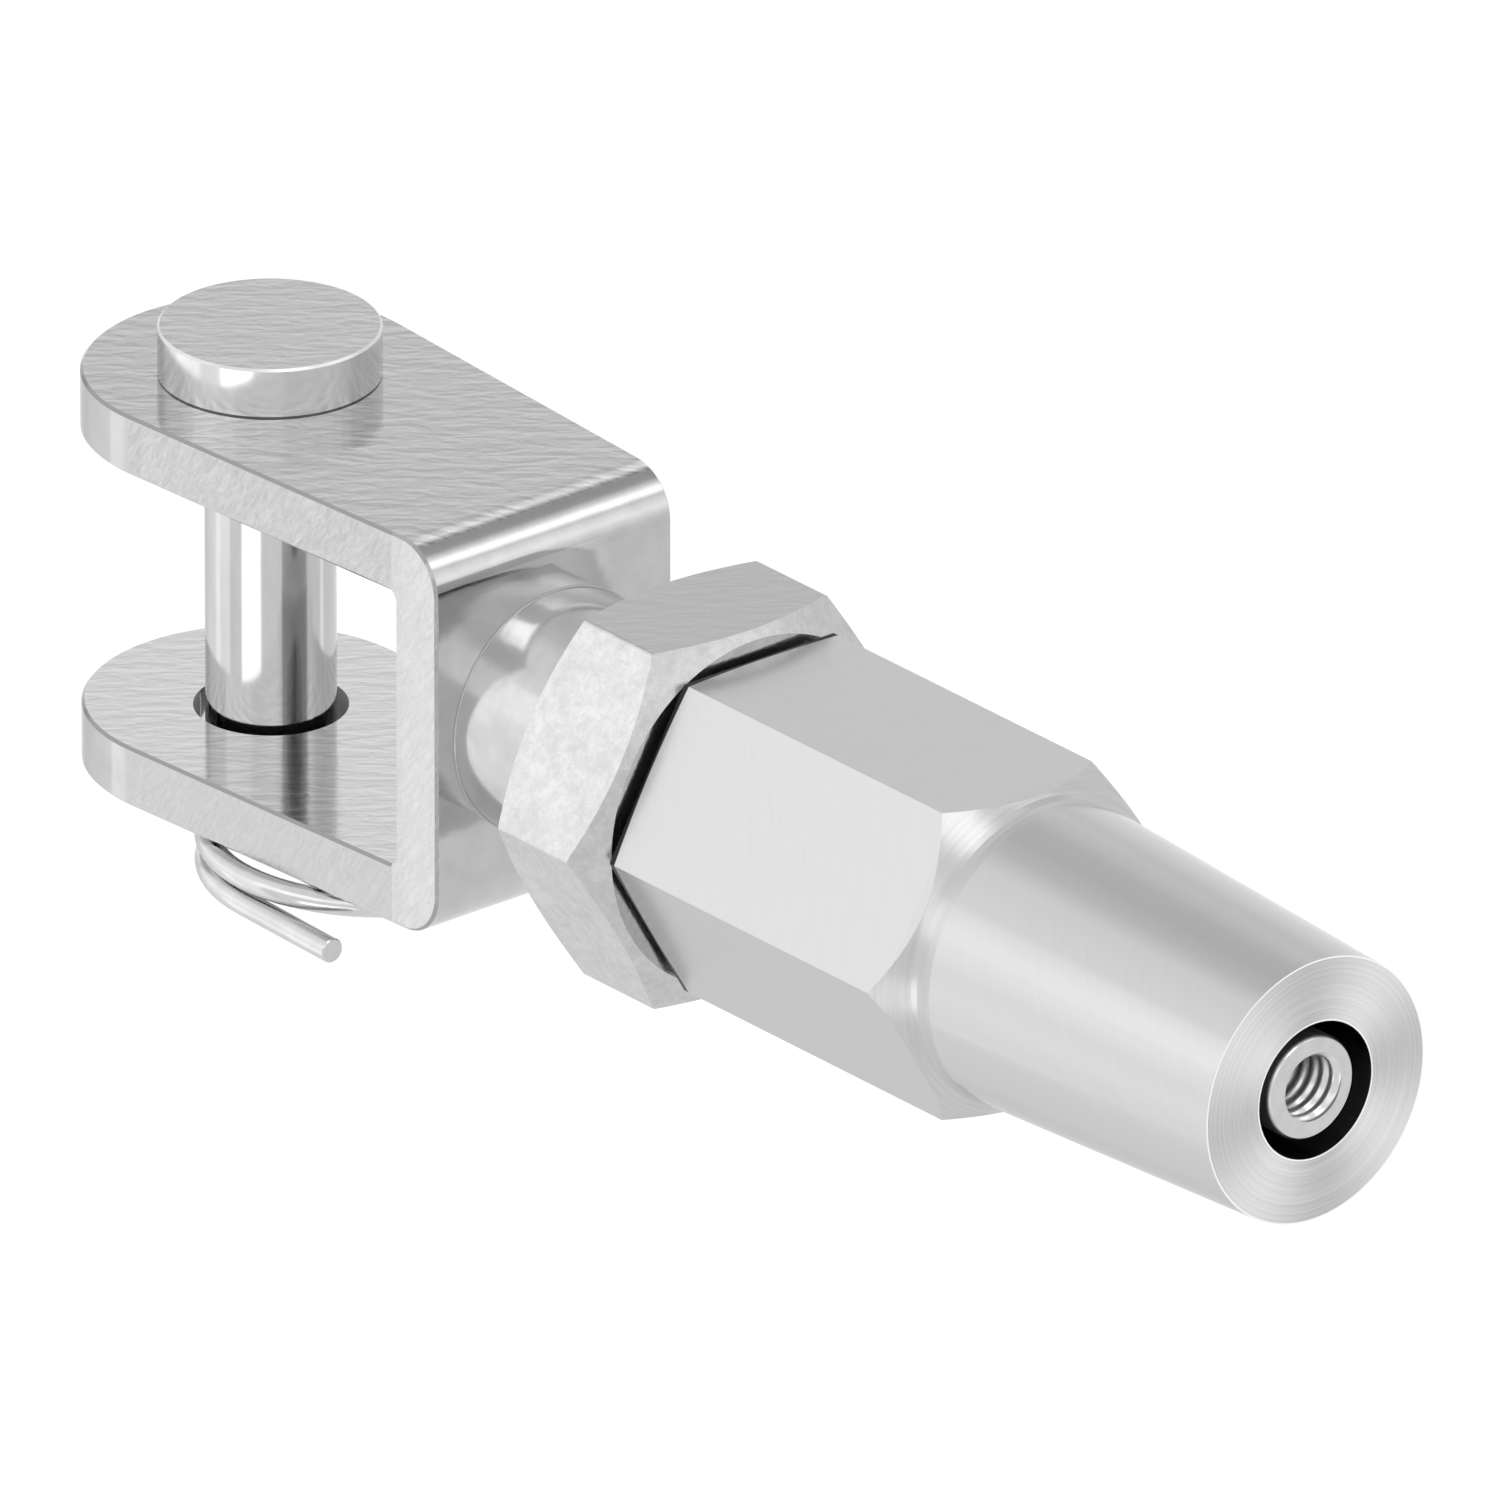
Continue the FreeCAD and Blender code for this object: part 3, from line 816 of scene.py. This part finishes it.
# Small cards: name, azimuth and elevation in degrees, distance, width, height, radiance.
SMALL_CARDS = (
    ("front_strip", -77, -24.6, 0.60, 0.34, 0.20, 2.0),
    ("edge_strip", -147, -24.6, 0.50, 0.09, 0.22, 1.5),
    ("rear_strip", 65, -24.6, 0.55, 0.07, 0.22, 1.3),
    ("sky_left", -102, 24, 0.60, 0.53, 0.25, 1.6),
    ("sky_middle", -54, 24, 0.60, 0.53, 0.25, 1.45),
    ("sky_right", 0, 24, 0.60, 0.69, 0.25, 1.32))
# Plain card before the back wall: distance, width, height, radiance.
PLAIN_CARD = (0.57, 0.9, 0.9, 0.95)
LAMP_WAY = (0.50, -0.12, 0.86)
LAMP_DISTANCE = 0.8
LAMP_WIDTH = 0.3
LAMP_RADIANCE = 1.7


def make_world():
    """White for rays that see the background, and WORLD_LIGHT for the light that it gives."""
    world = bpy.data.worlds.new("studio")
    bpy.context.scene.world = world
    tree = Tree(world)
    path = tree.add("ShaderNodeLightPath")
    seen = tree.math("MAXIMUM", path.outputs["Is Camera Ray"], path.outputs["Is Glossy Ray"])
    seen = tree.math("MAXIMUM", seen, path.outputs["Is Transmission Ray"])
    light = tree.add("ShaderNodeBackground", {
        "Color": (1, 1, 1, 1), "Strength": tree.ramp(seen, 0.0, 1.0, WORLD_LIGHT, 1.0)})
    tree.close(light.outputs["Background"], "ShaderNodeOutputWorld")


def flat_square(name, half_width):
    mesh = bmesh.new()
    bmesh.ops.create_grid(mesh, x_segments=1, y_segments=1, size=half_width)
    data = bpy.data.meshes.new(name)
    mesh.to_mesh(data)
    mesh.free()
    return place_object(name, data)


def make_floor():
    """Plain pale floor that is seen from above only, and not in the metal."""
    floor = flat_square("floor", FLOOR_HALF_WIDTH)
    floor.location = FLOOR_PLACE
    material = bpy.data.materials.new("pale_floor")
    tree = Tree(material)
    paint = tree.add("ShaderNodeBsdfDiffuse", {"Color": (FLOOR_TONE, FLOOR_TONE, FLOOR_TONE, 1)})
    clear = tree.add("ShaderNodeBsdfTransparent")
    facing = tree.add("ShaderNodeNewGeometry")
    mixed = tree.add("ShaderNodeMixShader", {"Fac": facing.outputs["Backfacing"]})
    tree.feed(mixed.inputs[1], paint.outputs["BSDF"])
    tree.feed(mixed.inputs[2], clear.outputs["BSDF"])
    tree.close(mixed.outputs["Shader"])
    floor.data.materials.append(material)
    floor.visible_glossy = False


def glow(name, radiance):
    """Even light of the given radiance."""
    material = bpy.data.materials.new(name)
    Tree(material).emit((1, 1, 1, 1), radiance)
    return material


def fan(name, across, upward, stops):
    """Light that changes with the angle round the part, as stops of (degrees, radiance).

    The angle is 0 along the world direction across and 90 along upward, seen from the part.
    """
    material = bpy.data.materials.new(name)
    tree = Tree(material)
    place = tree.add("ShaderNodeNewGeometry").outputs["Position"]
    from_middle = tree.add("ShaderNodeVectorMath", operation="SUBTRACT")
    tree.feed(from_middle.inputs[0], place)
    tree.feed(from_middle.inputs[1], STUDIO_MIDDLE)
    reach = []
    for way in (across, upward):
        dot = tree.add("ShaderNodeVectorMath", operation="DOT_PRODUCT")
        tree.feed(dot.inputs[0], from_middle.outputs["Vector"])
        tree.feed(dot.inputs[1], way)
        reach.append(dot.outputs["Value"])
    angle = tree.math("ARCTAN2", reach[1], reach[0])
    ramp = tree.add("ShaderNodeValToRGB", {"Fac": tree.ramp(angle, -math.pi, math.pi, 0.0, 1.0)})
    elements = ramp.color_ramp.elements
    while len(elements) < len(stops):
        elements.new(0.5)
    for element, (degrees, radiance) in zip(elements, stops):
        element.position = (degrees + 180) / 360
    brightest = max(radiance for degrees, radiance in stops)
    for element, (degrees, radiance) in zip(elements, stops):
        share = radiance / brightest
        element.color = (share, share, share, 1)
    tree.emit(ramp.outputs["Color"], brightest)
    return material


def aim(azimuth, elevation):
    turn, rise = math.radians(azimuth), math.radians(elevation)
    return (math.cos(rise) * math.cos(turn), math.cos(rise) * math.sin(turn), math.sin(rise))


def face_part(piece, towards, distance):
    """Sets a card or lamp at a distance from the part, square to the direction towards it."""
    direction = Vector(towards).normalized()
    piece.location = STUDIO_MIDDLE + direction * distance
    piece.rotation_mode = "QUATERNION"
    piece.rotation_quaternion = direction.to_track_quat("Z", "Y")


def card(name, towards, distance, width, height, material):
    """A flat glowing card that only reflections see."""
    piece = flat_square(name, 0.5)
    piece.scale = (width, height, 1)
    face_part(piece, towards, distance)
    piece.data.materials.append(material)
    piece.visible_camera = False
    piece.visible_shadow = False


def lamp(name, towards, distance, width, radiance):
    """A soft square lamp whose surface has the given radiance."""
    data = bpy.data.lights.new(name, "AREA")
    data.shape = "RECTANGLE"
    data.size = width
    data.size_y = width
    data.energy = radiance * math.pi * width * width
    face_part(place_object(name, data), towards, distance)


def make_studio():
    make_camera()
    make_world()
    make_floor()
    side_light = fan("side_fan", (0, -1, 0), (0, 0, 1), SIDE_STOPS)
    back_light = fan("back_fan", (0, 0, 1), (1, 0, 0), BACK_STOPS)
    card("side_card", (-1, 0, 0), WALL_DISTANCE, WALL_WIDTH, WALL_WIDTH, side_light)
    card("back_card", (0, 1, 0), WALL_DISTANCE, WALL_WIDTH, WALL_WIDTH, back_light)
    for name, azimuth, elevation, distance, width, height, radiance in SMALL_CARDS:
        light = glow(name + "_light", radiance)
        card(name, aim(azimuth, elevation), distance, width, height, light)
    distance, width, height, radiance = PLAIN_CARD
    card("back_plain", (0, 1, 0), distance, width, height, glow("plain_light", radiance))
    lamp("top", LAMP_WAY, LAMP_DISTANCE, LAMP_WIDTH, LAMP_RADIANCE)


def dress(name, material):
    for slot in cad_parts[name].material_slots:
        slot.material = material


def stand_for(piece, body, node, material):
    """Shows a new piece instead of a node. The node gets the same metal."""
    dress(node, material)
    piece.data.materials.append(material)
    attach(piece, body)
    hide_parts(node)


make_studio()
dress("fork", rolled_strip())
dress("clevis_pin", ground_pin())
dress("lock_nut", blasted())
dress("socket_body", turned())
neck_steel = drawn("neck_steel", NECK_TONES, NECK_ROUGHS)
wire_steel = drawn("wire_steel", WIRE_TONES, WIRE_ROUGHS)
stand_for(make_stud(), "fork", "stud", neck_steel)
stand_for(make_ring(), "split_ring", "split_ring", wire_steel)
stand_for(make_collet(), "grip_collet", "grip_collet", bore_steel())

bpy.context.scene.view_settings.view_transform = "Standard"
